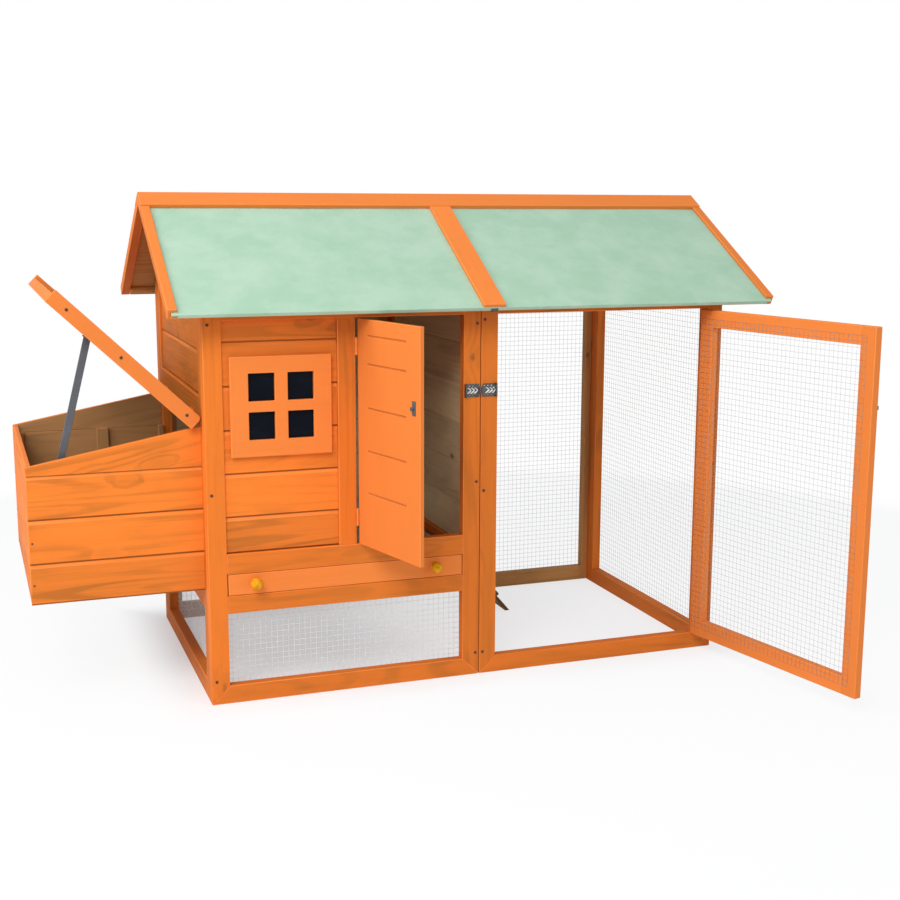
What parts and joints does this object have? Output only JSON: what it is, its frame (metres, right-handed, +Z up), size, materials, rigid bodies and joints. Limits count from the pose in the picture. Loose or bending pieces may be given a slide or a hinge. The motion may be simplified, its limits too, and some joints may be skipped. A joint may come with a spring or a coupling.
{
  "type": "chicken coop",
  "caption": "Wooden henhouse with hinged door, lift-lid nest box and slide-out tray, joined to a wire run with its own door under one felted gable roof.",
  "frame": {"origin": "middle of the bottom of the part's box with both doors and the nest lid open as stored, on the ground", "axes": "+X from the nest box towards the run, +Y from the front towards the back, +Z up"},
  "size_m": [1.697, 1.276, 1.1014],
  "materials": {
    "stained_wood": "orange wood stain, grain showing",
    "wall_boards": "orange wood stain, grain showing",
    "painted_wood": "flat orange paint",
    "green_felt": "mineral roofing felt",
    "dark_pane": "dark acrylic",
    "wire_net": "galvanised wire",
    "zinc_steel": "zinc plated",
    "painted_steel": "orange paint",
    "brown_steel": "dull brown plating",
    "tray_steel": "galvanised sheet",
    "yellow_knob": "yellow lacquer",
    "grey_steel": "dark grey coating"
  },
  "bodies": {
    "coop": {"front_posts": "stained_wood", "door_stile": "stained_wood", "front_middle_rails": "stained_wood", "front_bottom_rails": "stained_wood", "front_top_rails": "stained_wood", "front_wall_boards": "wall_boards", "window_trim": "painted_wood", "window_pane": "dark_pane", "back_posts": "stained_wood", "back_rails": "stained_wood", "back_wall_boards": "wall_boards", "side_stiles": "stained_wood", "side_rails": "stained_wood", "left_wall_boards": "wall_boards", "partition_boards": "wall_boards", "right_gable_boards": "wall_boards", "run_back_net": "wire_net", "run_end_net": "wire_net", "skirt_nets": "wire_net", "roof_panels": "painted_wood", "roof_felts": "green_felt", "ridge_boards": "painted_wood", "barge_boards": "painted_wood", "cover_strips": "painted_wood", "roof_battens": "stained_wood", "roof_joint_clips": "zinc_steel", "nest_side_boards": "wall_boards", "nest_end_boards": "wall_boards", "nest_floor": "stained_wood", "nest_battens": "stained_wood", "nest_divider": "stained_wood", "lid_prop_peg": "grey_steel", "fixed_hinge_leaves": "painted_steel", "hinge_pins": "painted_steel", "latch_bases": "zinc_steel", "tray_runners": "stained_wood", "ramp": "stained_wood", "perch": "stained_wood", "screw_heads": "brown_steel"},
    "house_door": {"house_door_leaf": "painted_wood", "house_door_hinge_leaves": "painted_steel", "house_door_catch": "zinc_steel"},
    "run_door": {"run_door_stiles": "painted_wood", "run_door_rails": "painted_wood", "run_door_net": "wire_net", "run_door_hinge_leaves": "painted_steel", "run_door_catch": "zinc_steel"},
    "nest_lid": {"lid_panel": "painted_wood", "lid_felt": "green_felt", "lid_battens": "painted_wood", "lid_hinge_leaves": "painted_steel", "lid_screws": "brown_steel", "lid_prop_bracket": "grey_steel"},
    "prop": {"lid_prop": "grey_steel"},
    "tray": {"tray_front": "painted_wood", "tray_pan": "tray_steel", "tray_knobs": "yellow_knob"},
    "house_latch": {"house_latch_loop": "zinc_steel"},
    "run_latch": {"run_latch_loop": "zinc_steel"}
  },
  "joints": [
    {"name": "house_door_swing", "type": "hinge", "parent": "coop", "child": "house_door", "pos_m": [-0.15525, -0.11358, 0.586], "axis": [0, 0, 1], "range_deg": [-74.5, 75.5]},
    {"name": "run_door_swing", "type": "hinge", "parent": "coop", "child": "run_door", "pos_m": [0.70725, -0.11358, 0.438], "axis": [0, 0, 1], "range_deg": [-101, 59]},
    {"name": "nest_lid_lift", "type": "hinge", "parent": "coop", "child": "nest_lid", "pos_m": [-0.4894, 0.22902, 0.62208], "axis": [0, 1, 0], "range_deg": [-54.64, 20]},
    {"name": "lid_prop_fold", "type": "hinge", "parent": "nest_lid", "child": "prop", "pos_m": [-0.70963, -0.03698, 0.8057], "axis": [0, 1, 0], "range_deg": [-32, 12]},
    {"name": "tray_slide", "type": "slide", "parent": "coop", "child": "tray", "axis": [0, -1, 0], "range_m": [0, 0.5]},
    {"name": "house_latch_swing", "type": "hinge", "parent": "coop", "child": "house_latch", "pos_m": [0.098, -0.11528, 0.666], "axis": [0, 0, -1], "range_deg": [0, 180]},
    {"name": "run_latch_swing", "type": "hinge", "parent": "coop", "child": "run_latch", "pos_m": [0.171, -0.11528, 0.666], "axis": [0, 0, 1], "range_deg": [0, 180]}
  ],
  "couplings": [
    {"joint": "lid_prop_fold", "follows": "nest_lid_lift", "ratio": 0.57}
  ]
}
